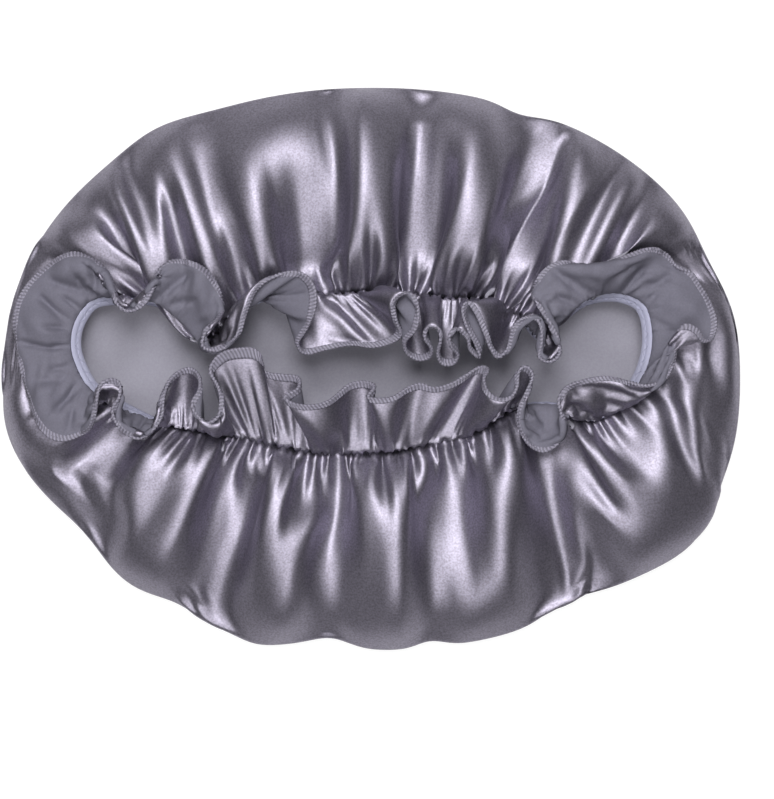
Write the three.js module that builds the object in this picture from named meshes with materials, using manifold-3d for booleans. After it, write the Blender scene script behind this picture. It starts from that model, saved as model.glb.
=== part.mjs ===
// Satin sleep bonnet, laid on its crown with the gathered mouth up.
// Millimetres, +Z up. +X runs along the long way of the mouth, +Y towards the back of the bonnet.
// Angles round the mouth are in degrees: 0 right end, 90 back, 180 left end, 270 front.
import * as THREE from 'three';
import { mergeVertices } from 'three/addons/utils/BufferGeometryUtils.js';
import Module from 'manifold-3d';

const wasm = await Module();
wasm.setup();

// Crown: the flat size of the bonnet as it lies, its profile and its folds. The shoulder powers
// shape the fall from the neck to the rim, and the puff spread keeps the puff to back and front.
const CROWN_LENGTH = 342;
const CROWN_WIDTH = 262;
const CROWN_SQUARENESS = 2.12;
const RIM_HEIGHT = 11;
const RIM_TURN = 13;
const NECK_HEIGHT = 21;
const CROWN_PUFF = 7;
const PUFF_SPREAD = 4;
const SHOULDER_START = 1.7;
const SHOULDER_END = 0.6;
const RIM_BEND = 0.3;
const FOLD_START = 4;
const FOLD_FULL = 19;
const FOLD_END = 0.75;
// Main bulges and creases of the crown: each line runs from beside the mouth outwards
const CROWN_FOLDS = [
  { from: [-117, 50], to: [-135, 66], height: 5, spread: 9 },
  { from: [-108, 49], to: [-131, 75], height: -3, spread: 7 },
  { from: [-98, 52], to: [-120, 80], height: 5, spread: 8 },
  { from: [-87, 54], to: [-98, 84], height: -6, spread: 8 },
  { from: [-70, 48], to: [-80, 92], height: 10, spread: 12 },
  { from: [-52, 45], to: [-45, 104], height: 9, spread: 12 },
  { from: [-29, 50], to: [-30, 82], height: -7, spread: 10 },
  { from: [-2, 44], to: [1, 112], height: 17, spread: 14 },
  { from: [22, 42], to: [24, 92], height: -10, spread: 9 },
  { from: [45, 44], to: [51, 106], height: 18, spread: 13 },
  { from: [71, 48], to: [76, 84], height: -8, spread: 9 },
  { from: [82, 52], to: [97, 92], height: 15, spread: 10 },
  { from: [105, 54], to: [124, 72], height: -5, spread: 9 },
  { from: [118, 54], to: [140, 70], height: 4, spread: 8 },
  { from: [150, -40], to: [160, -32], height: 3, spread: 7 },
  { from: [116, -61], to: [138, -74], height: 13, spread: 12 },
  { from: [87, -44], to: [94, -76], height: -6, spread: 10 },
  { from: [58, -43], to: [55, -105], height: 11, spread: 13 },
  { from: [29, -44], to: [34, -84], height: -9, spread: 10 },
  { from: [6, -45], to: [8, -108], height: 17, spread: 15 },
  { from: [-26, -42], to: [-26, -80], height: -7, spread: 9 },
  { from: [-48, -45], to: [-48, -106], height: 11, spread: 13 },
  { from: [-66, -40], to: [-72, -84], height: -8, spread: 9 },
  { from: [-80, -40], to: [-102, -85], height: 14, spread: 14 },
  { from: [-94, -36], to: [-108, -48], height: 5, spread: 9 },
  { from: [-125, -38], to: [-138, -56], height: -4, spread: 9 },
];
// Swells of the outline: direction from the middle in degrees, height, and spread in degrees
const OUTLINE_SWELLS = [
  { at: 18, height: -3, spread: 7 },
  { at: 60, height: -3, spread: 5 },
  { at: 132, height: 3, spread: 8 },
  { at: 189, height: 2.6, spread: 7 },
  { at: 209, height: -6.5, spread: 9 },
  { at: 230, height: -4, spread: 6 },
  { at: 247, height: 2.5, spread: 5 },
  { at: 261, height: -5, spread: 6 },
  { at: 282, height: -3, spread: 4 },
  { at: 310, height: -5.5, spread: 7 },
  { at: 332, height: 8, spread: 9 },
  { at: 347, height: 2, spread: 8 },
];

// Mouth: the line along which the elastic gathers the cloth
const MOUTH_LENGTH = 269;
const MOUTH_BACK = 27;
const MOUTH_FRONT = 46;
const MOUTH_SHIFT_X = -5;
const MOUTH_SHIFT_Y = 8;
const MOUTH_BACK_SQUARENESS = 3.4;
const MOUTH_FRONT_SQUARENESS = 2.3;
const PINCH_DEPTH = 14;
const PINCH_OFFSET = 72;
const PINCH_SPREAD = 20;

// Cloth, elastic and threads
const CLOTH = 1;
const TAPE_WIDTH = 6;
const TAPE_THICKNESS = 0.9;
const TAPE_TILT = 32;
const LAP_LENGTH = 14;
const LAP_ANGLE = 97;
const LAP_CLEAR = 1.4;
const TACK_PASSES = 6;
const TACK_EDGE = 0.25;
const BEAD_DIAMETER = 2.2;
const THREAD_DIAMETER = 0.7;
const STITCH_PITCH = 12;
const STITCH_WIDTH = 3.2;
const SEAT_GAP = 0.3;

// Ruffle: its width, how it turns round the mouth, and where its sections part
const RUFFLE_WIDTH = 26;
const RUFFLE_RISE = 4.5;
const RUFFLE_ROOT_OUT = 1.4;
const RUFFLE_WAVES = 20;
const TIP_FOLD_OUT = 4;
const PART_GAP = 0.9;
// Each key: angle round the mouth, turn of the ruffle (0 lies outward, 90 stands, 180 lies inward),
// and the height of its waves
const RUFFLE_TURNS = [
  { at: 0, turn: -7, wave: 0.9 },
  { at: 28, turn: -2, wave: 1 },
  { at: 50, turn: 14, wave: 2 },
  { at: 69, turn: 126, wave: 3.5 },
  { at: 84, turn: 124, wave: 4 },
  { at: 89, turn: 160, wave: 2 },
  { at: 93, turn: 150, wave: 2 },
  { at: 98, turn: 62, wave: 2 },
  { at: 103, turn: 66, wave: 2 },
  { at: 109, turn: 122, wave: 2 },
  { at: 118, turn: 24, wave: 1.6 },
  { at: 131, turn: 10, wave: 1.6 },
  { at: 142, turn: 110, wave: 1.6 },
  { at: 152, turn: -2, wave: 1 },
  { at: 180, turn: -7, wave: 0.9 },
  { at: 204, turn: -2, wave: 1 },
  { at: 217, turn: 128, wave: 5 },
  { at: 244, turn: 134, wave: 5 },
  { at: 260, turn: 152, wave: 3.5 },
  { at: 284, turn: 150, wave: 3.5 },
  { at: 295, turn: 124, wave: 3 },
  { at: 305, turn: 40, wave: 2 },
  { at: 318, turn: 136, wave: 2.5 },
  { at: 331, turn: 0, wave: 1 },
];
const PART_AT = { rightBack: 66, leftBack: 114, leftFront: 249, rightFront: 292 };

// Facets
const CROWN_COLUMNS = 68;
const RUFFLE_COLUMNS = RUFFLE_WAVES * 8;
const RUFFLE_ROWS = 4;
const UPPER_ROWS = [0, 0.05, 0.2, 0.48, 0.8, 1];
const LAP_COLUMNS = 5;
const BEAD_SIDES = 6;
const THREAD_SIDES = 3;
const STEPS_PER_STITCH = 2;
const STEPS_PER_PASS = 3;
const MOUTH_SAMPLES = 1440;
const LEAST_AREA = 1e-9;

const UP = new THREE.Vector3(0, 0, 1);
const radians = THREE.MathUtils.degToRad;
const signedPower = (value, power) => Math.sign(value) * Math.abs(value) ** power;

// A point of the mouth line at an angle, seen from above
function mouthPoint(angle) {
  const turn = radians(angle);
  const isBack = Math.sin(turn) >= 0;
  const power = 2 / (isBack ? MOUTH_BACK_SQUARENESS : MOUTH_FRONT_SQUARENESS);
  const along = (MOUTH_LENGTH / 2) * signedPower(Math.cos(turn), power);
  const across = (isBack ? MOUTH_BACK : MOUTH_FRONT) * signedPower(Math.sin(turn), power);
  const fromPinch = (Math.abs(along) - PINCH_OFFSET) / PINCH_SPREAD;
  const pinch = isBack ? PINCH_DEPTH * Math.exp(-(fromPinch ** 2)) : 0;
  return new THREE.Vector3(MOUTH_SHIFT_X + along, MOUTH_SHIFT_Y + across - pinch, 0);
}

// The mouth line walked by its length: angle and place for each share of the way round
const mouthAngles = Array.from({ length: MOUTH_SAMPLES + 1 }, (_, i) => (360 * i) / MOUTH_SAMPLES);
const mouthWalk = mouthAngles.map(mouthPoint);
const mouthLengths = [0];
for (let i = 1; i <= MOUTH_SAMPLES; i += 1) {
  mouthLengths.push(mouthLengths[i - 1] + mouthWalk[i].distanceTo(mouthWalk[i - 1]));
}
const MOUTH_GIRTH = mouthLengths[MOUTH_SAMPLES];

function interpolate(xs, ys, x) {
  const next = Math.max(1, xs.findIndex((value) => value >= x));
  const share = (x - xs[next - 1]) / (xs[next] - xs[next - 1]);
  return THREE.MathUtils.lerp(ys[next - 1], ys[next], share);
}

const wrap = (share) => ((share % 1) + 1) % 1;
const angleAtShare = (share) => interpolate(mouthLengths, mouthAngles, wrap(share) * MOUTH_GIRTH);
const shareAtAngle = (angle) => interpolate(mouthAngles, mouthLengths, angle) / MOUTH_GIRTH;

// Place on the mouth line, with its outward direction
function mouthFrame(share) {
  const step = 1 / MOUTH_SAMPLES;
  const ahead = mouthPoint(angleAtShare(share + step));
  const behind = mouthPoint(angleAtShare(share - step));
  const along = ahead.sub(behind).normalize();
  const outward = new THREE.Vector3().crossVectors(along, UP);
  return { place: mouthPoint(angleAtShare(share)), along, outward };
}

// A closed body between two matching grids of points, joined along their free edges. Each cell is
// split along its shorter diagonal, the same way in front and behind.
function solidBetween(front, back, isRing) {
  const positions = [];
  const columns = isRing ? front.length : front.length - 1;
  const rows = front[0].length - 1;
  const triangle = (a, b, c) => {
    const area = b.clone().sub(a).cross(c.clone().sub(a)).length();
    if (area > LEAST_AREA) positions.push(...a.toArray(), ...b.toArray(), ...c.toArray());
  };
  const quad = (a, b, c, d) => {
    triangle(a, b, c);
    triangle(a, c, d);
  };
  for (let i = 0; i < columns; i += 1) {
    const n = (i + 1) % front.length;
    for (let j = 0; j < rows; j += 1) {
      const corners = (grid) => [grid[i][j], grid[i][j + 1], grid[n][j + 1], grid[n][j]];
      const [a, b, c, d] = corners(front);
      const [e, f, g, h] = corners(back);
      if (a.distanceTo(c) <= b.distanceTo(d)) {
        quad(a, b, c, d);
        quad(e, h, g, f);
      } else {
        quad(b, c, d, a);
        quad(f, e, h, g);
      }
    }
    quad(front[i][0], front[n][0], back[n][0], back[i][0]);
    quad(front[i][rows], back[i][rows], back[n][rows], front[n][rows]);
  }
  if (!isRing) {
    for (let j = 0; j < rows; j += 1) {
      quad(front[0][j], back[0][j], back[0][j + 1], front[0][j + 1]);
      quad(front[columns][j], front[columns][j + 1], back[columns][j + 1], back[columns][j]);
    }
  }
  const geometry = new THREE.BufferGeometry();
  geometry.setAttribute('position', new THREE.Float32BufferAttribute(positions, 3));
  return mergeVertices(geometry);
}

// Unit normals of a grid of points, from its neighbours along columns and rows
function gridNormals(grid, isRing) {
  const last = grid.length - 1;
  const column = (i) => grid[isRing ? (i + grid.length) % grid.length : Math.min(Math.max(i, 0), last)];
  return grid.map((points, i) => points.map((_, j) => {
    const across = column(i + 1)[j].clone().sub(column(i - 1)[j]);
    const above = points[Math.min(j + 1, points.length - 1)];
    const down = above.clone().sub(points[Math.max(j - 1, 0)]);
    return down.cross(across).normalize();
  }));
}

const offsetGrid = (grid, normals, distance) =>
  grid.map((points, i) => points.map((p, j) => p.clone().addScaledVector(normals[i][j], distance)));

// Booleans on closed bodies
function toSolid(geometry) {
  const bare = geometry.clone();
  bare.deleteAttribute('normal');
  bare.deleteAttribute('uv');
  const merged = mergeVertices(bare);
  return new wasm.Manifold(new wasm.Mesh({
    numProp: 3,
    vertProperties: new Float32Array(merged.attributes.position.array),
    triVerts: new Uint32Array(merged.index.array),
  }));
}

function toGeometry(solid) {
  const mesh = solid.getMesh();
  const geometry = new THREE.BufferGeometry();
  geometry.setAttribute('position', new THREE.Float32BufferAttribute(mesh.vertProperties, mesh.numProp));
  geometry.setIndex(new THREE.Uint32BufferAttribute(mesh.triVerts, 1));
  return geometry;
}

// A block that holds everything beyond a plane square to X, on the given side
function blockBeyond(x, side) {
  const block = new THREE.BoxGeometry(CROWN_LENGTH, 2 * CROWN_WIDTH, CROWN_WIDTH);
  block.translate(x + (side * CROWN_LENGTH) / 2, 0, 0);
  return toSolid(block);
}

// Crown: outline, upper layer with its folds, rolled rim and flat base
function outlinePoint(angle) {
  const turn = radians(angle);
  const power = 2 / CROWN_SQUARENESS;
  const x = (CROWN_LENGTH / 2) * signedPower(Math.cos(turn), power);
  const y = (CROWN_WIDTH / 2) * signedPower(Math.sin(turn), power);
  const point = new THREE.Vector3(x, y, 0);
  const direction = THREE.MathUtils.radToDeg(Math.atan2(y, x));
  const swell = OUTLINE_SWELLS.reduce((sum, { at, height, spread }) => {
    const away = 360 * (wrap((direction - at) / 360 + 1 / 2) - 1 / 2);
    return sum + height * Math.exp(-((away / spread) ** 2));
  }, 0);
  return point.setLength(point.length() + swell);
}

// Height of the folds at a place seen from above, which falls off beside each fold's line
function foldHeight(place) {
  return CROWN_FOLDS.reduce((sum, { from, to, height, spread }) => {
    const line = new THREE.Line3(new THREE.Vector3(...from, 0), new THREE.Vector3(...to, 0));
    const away = line.closestPointToPoint(place, true, new THREE.Vector3()).distanceTo(place);
    return sum + height * Math.exp(-((away / spread) ** 2));
  }, 0);
}

function crownColumn(column) {
  const angle = angleAtShare(column / CROWN_COLUMNS);
  const { place: mouth, outward } = mouthFrame(column / CROWN_COLUMNS);
  const margin = mouth.clone().addScaledVector(outward, -TAPE_WIDTH * Math.cos(radians(TAPE_TILT)));
  const outline = outlinePoint(angle);
  const sideways = Math.sin(radians(angle)) ** PUFF_SPREAD;
  const points = [margin.setZ(NECK_HEIGHT - TAPE_WIDTH * Math.sin(radians(TAPE_TILT)))];
  for (const share of UPPER_ROWS) {
    const fall = (1 - share ** SHOULDER_START) ** SHOULDER_END;
    const puff = CROWN_PUFF * sideways * Math.sin(Math.PI * share) ** 2;
    const point = mouth.clone().lerp(outline, share);
    const start = THREE.MathUtils.smoothstep(point.distanceTo(mouth), FOLD_START, FOLD_FULL);
    const fold = foldHeight(point) * start * THREE.MathUtils.smoothstep(1 - share, 0, 1 - FOLD_END);
    points.push(point.setZ(RIM_HEIGHT + (NECK_HEIGHT - RIM_HEIGHT) * fall + puff + fold));
  }
  const inward = outline.clone().setZ(0).normalize();
  points.push(outline.clone().addScaledVector(inward, -RIM_TURN * RIM_BEND).setZ(RIM_HEIGHT * RIM_BEND));
  points.push(outline.clone().addScaledVector(inward, -RIM_TURN).setZ(0));
  points.push(new THREE.Vector3(0, 0, 0));
  return points;
}

// The cloth's outer and inner face, parted at the outline into the upper layer and the underside
function crownGeometries() {
  const outer = Array.from({ length: CROWN_COLUMNS }, (_, i) => crownColumn(i));
  const normals = gridNormals(outer, true);
  const base = outer[0].length - 2;
  normals.forEach((column) => column.fill(new THREE.Vector3(0, 0, -1), base));
  const faces = [outer, offsetGrid(outer, normals, -CLOTH)];
  const rim = UPPER_ROWS.length;
  const upper = faces.map((grid) => grid.map((points) => points.slice(0, rim + 1)));
  const under = faces.map((grid) => grid.map((points) => {
    const [first, ...rest] = points.slice(rim);
    return [first.clone().addScaledVector(UP, -SEAT_GAP), ...rest];
  }));
  return { upper: solidBetween(...upper, true), under: solidBetween(...under, true) };
}

// Elastic tape: a tilted strip inside the mouth line, on the crown's margin
function tapeAcross(outward) {
  const level = outward.clone().multiplyScalar(Math.cos(radians(TAPE_TILT)));
  return level.addScaledVector(UP, Math.sin(radians(TAPE_TILT)));
}

function tapeColumn(column) {
  const { place, along, outward } = mouthFrame(column / CROWN_COLUMNS);
  const across = tapeAcross(outward);
  const face = new THREE.Vector3().crossVectors(across, along).normalize();
  const foot = place.setZ(NECK_HEIGHT);
  return { foot, near: foot.clone().addScaledVector(across, -TAPE_WIDTH), face };
}

// The tape runs straight between its columns, so what lies on it does too
function tapeSection(share, lift) {
  const column = Math.floor(share * CROWN_COLUMNS);
  const from = tapeColumn(column);
  const to = tapeColumn(column + 1);
  const part = share * CROWN_COLUMNS - column;
  const face = from.face.lerp(to.face, part);
  const foot = from.foot.lerp(to.foot, part).addScaledVector(face, SEAT_GAP + lift);
  const near = from.near.lerp(to.near, part).addScaledVector(face, SEAT_GAP + lift);
  return { foot, near, face };
}

function tapeGeometry(from, to, columns, lift, isRing) {
  const low = [];
  const high = [];
  for (let i = 0; i < columns; i += 1) {
    const share = from + ((to - from) * i) / (isRing ? columns : columns - 1);
    const { foot, near, face } = tapeSection(share, lift);
    low.push([near, foot]);
    high.push([near, foot].map((p) => p.clone().addScaledVector(face, TAPE_THICKNESS)));
  }
  return solidBetween(high, low, isRing);
}

// Ruffle: turn and wave at each place round the mouth, between the keys on a smooth step
function ruffleKey(angle) {
  const next = RUFFLE_TURNS.findIndex((key) => key.at > angle);
  const last = RUFFLE_TURNS.length - 1;
  const before = RUFFLE_TURNS[next === -1 ? last : next - 1];
  const after = RUFFLE_TURNS[next === -1 ? 0 : next];
  const span = wrap((after.at - before.at) / 360) * 360;
  const share = THREE.MathUtils.smoothstep(angle - before.at, 0, span);
  return {
    turn: THREE.MathUtils.lerp(before.turn, after.turn, share),
    wave: THREE.MathUtils.lerp(before.wave, after.wave, share),
  };
}

// One line of the ruffle from its root to its rim: it rises, then turns, and waves across its face
function ruffleLine(share) {
  const angle = angleAtShare(share);
  const { place, outward } = mouthFrame(share);
  const { turn, wave } = ruffleKey(angle);
  const root = place.addScaledVector(outward, RUFFLE_ROOT_OUT).setZ(NECK_HEIGHT + SEAT_GAP);
  const knee = root.clone().addScaledVector(UP, RUFFLE_RISE);
  const heading = outward.clone().multiplyScalar(Math.cos(radians(turn)));
  heading.addScaledVector(UP, Math.sin(radians(turn)));
  const facing = outward.clone().multiplyScalar(-Math.sin(radians(turn)));
  facing.addScaledVector(UP, Math.cos(radians(turn)));
  const swing = wave * Math.sin(2 * Math.PI * RUFFLE_WAVES * share);
  const rim = knee.clone().addScaledVector(heading, RUFFLE_WIDTH - RUFFLE_RISE);
  rim.addScaledVector(facing, swing);
  return new THREE.QuadraticBezierCurve3(root, knee, rim);
}

const columnShares = (from, to) => {
  const columns = Math.max(2, Math.round((to - from) * RUFFLE_COLUMNS));
  return Array.from({ length: columns + 1 }, (_, i) => from + ((to - from) * i) / columns);
};

function ruffleGeometry(from, to) {
  const middle = columnShares(from, to).map((share) => ruffleLine(share).getPoints(RUFFLE_ROWS));
  const normals = gridNormals(middle, false);
  const inside = offsetGrid(middle, normals, CLOTH / 2);
  const outside = offsetGrid(middle, normals, -CLOTH / 2);
  return solidBetween(inside, outside, false);
}

// Overlock edge: a bead of thread just beyond the rim of the ruffle, round in section
function beadGeometry(from, to) {
  const lines = columnShares(from, to).map(ruffleLine);
  const normals = gridNormals(lines.map((line) => line.getPoints(RUFFLE_ROWS)), false);
  const radius = BEAD_DIAMETER / 2;
  const half = (side) => lines.map((line, i) => {
    const heading = line.getTangent(1);
    const centre = line.getPoint(1).addScaledVector(heading, SEAT_GAP + radius);
    return Array.from({ length: BEAD_SIDES / 2 + 1 }, (_, k) => {
      const turn = Math.PI - (2 * Math.PI * k) / BEAD_SIDES;
      const corner = centre.clone().addScaledVector(heading, radius * Math.cos(turn));
      return corner.addScaledVector(normals[i][RUFFLE_ROWS], side * radius * Math.sin(turn));
    });
  });
  return solidBetween(half(1), half(-1), false);
}

// A thread: a thin tube along its path
function roundSection(diameter, sides) {
  const corners = Array.from({ length: sides }, (_, i) => {
    const turn = (2 * Math.PI * i) / sides;
    return new THREE.Vector2((diameter / 2) * Math.cos(turn), (diameter / 2) * Math.sin(turn));
  });
  return new THREE.Shape(corners);
}

function tubeGeometry(points, diameter, sides, steps) {
  const extrudePath = new THREE.CatmullRomCurve3(points);
  const section = roundSection(diameter, sides);
  return new THREE.ExtrudeGeometry(section, { steps, extrudePath, bevelEnabled: false });
}

// Gathering stitches: a zigzag thread through the tape, which starts and ends beside the lap
function stitchGeometry(from, to) {
  const count = Math.round(((to - from) * MOUTH_GIRTH) / STITCH_PITCH) * 2;
  const edge = STITCH_WIDTH / TAPE_WIDTH / 2;
  const points = Array.from({ length: count + 1 }, (_, i) => {
    const share = from + ((to - from) * i) / count;
    const { foot, near, face } = tapeSection(share, TAPE_THICKNESS + SEAT_GAP + THREAD_DIAMETER / 2);
    return foot.lerp(near, 1 / 2 + (i % 2 ? edge : -edge)).addScaledVector(face, SEAT_GAP / 2);
  });
  return tubeGeometry(points, THREAD_DIAMETER, THREAD_SIDES, count * STEPS_PER_STITCH);
}

// Bar tack across the lap of the elastic
function bartackGeometry(middle) {
  const points = [];
  for (let i = 0; i <= TACK_PASSES; i += 1) {
    const share = middle + ((i / TACK_PASSES - 1 / 2) * LAP_LENGTH) / (2 * MOUTH_GIRTH);
    const { foot, near, face } = tapeSection(share, 2 * TAPE_THICKNESS + SEAT_GAP);
    const point = foot.clone().lerp(near, i % 2 ? 1 - TACK_EDGE : TACK_EDGE);
    points.push(point.addScaledVector(face, THREAD_DIAMETER / 2));
  }
  return tubeGeometry(points, THREAD_DIAMETER, THREAD_SIDES, TACK_PASSES * STEPS_PER_PASS);
}

// Finishes
const satin = new THREE.MeshStandardMaterial({ color: '#7a7584', roughness: 0.35, metalness: 0.1 });
const elastic = new THREE.MeshStandardMaterial({ color: '#c9cae0', roughness: 0.8, metalness: 0 });
const thread = new THREE.MeshStandardMaterial({ color: '#9a95a6', roughness: 0.6, metalness: 0 });

const bonnet = new THREE.Group();
const add = (name, geometry, material) => {
  const mesh = new THREE.Mesh(geometry, material);
  mesh.name = name;
  bonnet.add(mesh);
  return mesh;
};

const crown = crownGeometries();
add('crown', crown.upper, satin);
add('crown_underside', crown.under, satin);
add('elastic_band', tapeGeometry(0, 1, CROWN_COLUMNS, 0, true), elastic);
const lapHalf = LAP_LENGTH / (2 * MOUTH_GIRTH);
const lapMiddle = shareAtAngle(LAP_ANGLE);
const lapSpan = [lapMiddle - lapHalf, lapMiddle + lapHalf];
const lapLift = TAPE_THICKNESS + SEAT_GAP;
add('elastic_lap', tapeGeometry(...lapSpan, LAP_COLUMNS, lapLift, false), elastic);
add('lap_bartack', bartackGeometry(lapMiddle), thread);
const besideLap = lapHalf + LAP_CLEAR / MOUTH_GIRTH;
add('gather_stitching', stitchGeometry(lapMiddle + besideLap, lapMiddle + 1 - besideLap), thread);

// The back and front sections lie still between the two ends
const partShare = PART_GAP / 2 / MOUTH_GIRTH;
const between = (from, to) => [shareAtAngle(from) + partShare, shareAtAngle(to) - partShare];
const backSpan = between(PART_AT.rightBack, PART_AT.leftBack);
const frontSpan = between(PART_AT.leftFront, PART_AT.rightFront);
add('ruffle_back', ruffleGeometry(...backSpan), satin);
add('overlock_back', beadGeometry(...backSpan), thread);
add('ruffle_front', ruffleGeometry(...frontSpan), satin);
add('overlock_front', beadGeometry(...frontSpan), thread);

// Each end section is cut outside the root of the ruffle, where its tip folds. The tip takes the
// middle out of the overlock edge, which leaves a back and a front length beside it.
function addEnd(side, span, foldX, way) {
  const tipBlock = blockBeyond(foldX + way * (SEAT_GAP / 2), way);
  const restBlock = blockBeyond(foldX - way * (SEAT_GAP / 2), way);
  const ruffle = toSolid(ruffleGeometry(...span));
  add(`ruffle_${side}`, toGeometry(ruffle.subtract(restBlock)), satin);
  add(`ruffle_${side}_tip`, toGeometry(ruffle.intersect(tipBlock)), satin);
  const bead = toSolid(beadGeometry(...span));
  add(`overlock_${side}_tip`, toGeometry(bead.intersect(tipBlock)), thread);
  const lengths = bead.subtract(restBlock).decompose();
  lengths.sort((a, b) => b.boundingBox().max[1] - a.boundingBox().max[1]);
  add(`overlock_${side}_back`, toGeometry(lengths[0]), thread);
  add(`overlock_${side}_front`, toGeometry(lengths[1]), thread);
}

const leftSpan = between(PART_AT.leftBack, PART_AT.leftFront);
const rightSpan = [between(PART_AT.rightFront, 360)[0] - 1, between(0, PART_AT.rightBack)[1]];
addEnd('left', leftSpan, MOUTH_SHIFT_X - MOUTH_LENGTH / 2 - TIP_FOLD_OUT, -1);
addEnd('right', rightSpan, MOUTH_SHIFT_X + MOUTH_LENGTH / 2 + TIP_FOLD_OUT, 1);

// Origin under the middle of the bonnet, on the surface that it lies on
const box = new THREE.Box3().setFromObject(bonnet);
const middle = box.getCenter(new THREE.Vector3());
bonnet.position.set(-middle.x, -middle.y, -box.min.z);

export default bonnet;
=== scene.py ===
"""Looks of a satin sleep bonnet that lies on its crown with the gathered mouth up.

The cloth is one ring of grid points: the ruffle's rim, the gathering line, the crown's upper layer
and its outline. It starts from listed routes and is then relaxed until every thread of the
grid has its own length again, which raises the folds. Lengths here are in millimetres until a mesh
is made, and Blender's unit is the metre.
"""
import logging
import math
from collections.abc import Callable
from dataclasses import dataclass, field
from enum import Enum

import bpy
import numpy as np
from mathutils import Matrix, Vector


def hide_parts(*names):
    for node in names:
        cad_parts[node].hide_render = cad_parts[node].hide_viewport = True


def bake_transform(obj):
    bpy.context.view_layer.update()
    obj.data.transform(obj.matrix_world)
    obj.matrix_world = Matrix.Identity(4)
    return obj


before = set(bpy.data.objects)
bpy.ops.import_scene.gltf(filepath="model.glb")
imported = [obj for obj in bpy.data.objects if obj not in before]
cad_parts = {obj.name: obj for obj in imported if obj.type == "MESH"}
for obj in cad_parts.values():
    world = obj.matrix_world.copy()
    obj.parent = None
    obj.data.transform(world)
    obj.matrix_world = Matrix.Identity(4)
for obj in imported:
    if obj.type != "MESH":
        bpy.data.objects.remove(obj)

logging.basicConfig(level=logging.INFO, format="%(message)s")
log = logging.getLogger("bonnet")

MM = 0.001
TURN = 2 * math.pi
TINY = 1e-6
UV_NAME = "weave"
# The wave texture turns by this many radians in one unit of its scale
WAVE_UNIT = 20

# Sizes that several parts of the bonnet share
CROWN_LENGTH = 342
CROWN_WIDTH = 262
NECK_HEIGHT = 21
RUFFLE_WIDTH = 28
CLOTH_THICKNESS = 0.3
LOOP_PITCH = 1.5
# Power of the crown's outline: 2 is an ellipse, and more is squarer
CROWN_SQUARENESS = 2.12
# Fine puckers at the gathering line: their height, how far from it they fade, and by which power
PUCKER_HEIGHT = 2.1
PUCKER_REACH = 5.5
PUCKER_FALL = 1.5

# Grid of the cloth: columns round it and rows across it
COLUMNS = 720
RUFFLE_ROWS = 16
CROWN_ROWS = 44

# Bulges of the crown seen from above: a line from the mouth outwards, height and spread
CROWN_BULGES = (
    (-117, 50, -137, 68, 9, 9), (-96, 50, -123, 86, 10, 10), (-78, 50, -98, 104, 11, 13),
    (-51, 45, -50, 113, 12.5, 16), (-5, 44, -3, 123, 12.5, 15), (42, 44, 46, 116, 12.5, 16),
    (87, 58, 101, 95, 10, 11), (96, 50, 121, 88, 10, 8), (111, 50, 143, 74, 10, 9),
    (-87, -33, -118, -55, 10, 9), (-73, -38, -103, -93, 11, 15), (-45, -45, -38, -112, 12.5, 14),
    (6, -45, 9, -119, 12.5, 16), (59, -43, 55, -114, 11, 14), (90, -43, 120, -82, 11, 12),
    (106, -38, 150, -71, 10, 9), (124, -25, 167, -14, 7.5, 9), (129, -38, 162, -47, 7.5, 10),
    (-141, -33, -163, -24, 7.5, 9), (152, 18, 170, 18, 7.5, 9),
    # Short ones that stand up right by the mouth
    (-54, 38, -53, 50, 6, 4.5), (-36, 40, -36, 54, 7, 5), (-16, 40, -16, 54, 7, 5),
    (8, 40, 8, 54, 7, 5), (34, 38, 35, 51, 6, 4.5), (48, 36, 50, 47, 6, 4), (63, 33, 66, 44, 6, 4.5),
    (-38, -42, -37, -54, 6, 4.5), (-22, -44, -22, -56, 6, 4.5), (-8, -44, -8, -58, 6, 5),
    (22, -42, 23, -56, 6, 5), (40, -38, 41, -52, 6, 4.5), (-58, -38, -58, -50, 6, 4.5),
)
# Creases between them in the same way
CROWN_CREASES = (
    (-108, 49, -131, 75, -6, 4), (-87, 48, -112, 95, -7, 4.5), (-65, 45, -79, 90, -9, 5),
    (-23, 50, -26, 95, -10, 5), (19, 38, 18, 106, -10, 4), (69, 37, 73, 95, -10, 5),
    (87, 48, 111, 86, -7, 4), (104, 50, 131, 79, -7, 4), (124, 50, 155, 60, -6, 5),
    (-103, -38, -131, -61, -6, 5), (-78, -39, -108, -61, -6, 4.5), (-63, -38, -56, -103, -10, 6),
    (-20, -40, -17, -80, -7, 6), (28, -40, 31, -70, -7, 4), (37, -47, 45, -89, -8, 4.5),
    (69, -40, 80, -89, -7, 6), (87, -38, 109, -75, -9, 4.5), (106, -28, 148, -56, -6, 4.5),
    (-129, -34, -150, -47, -6, 5), (148, 32, 164, 37, -5, 5),
)

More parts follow.
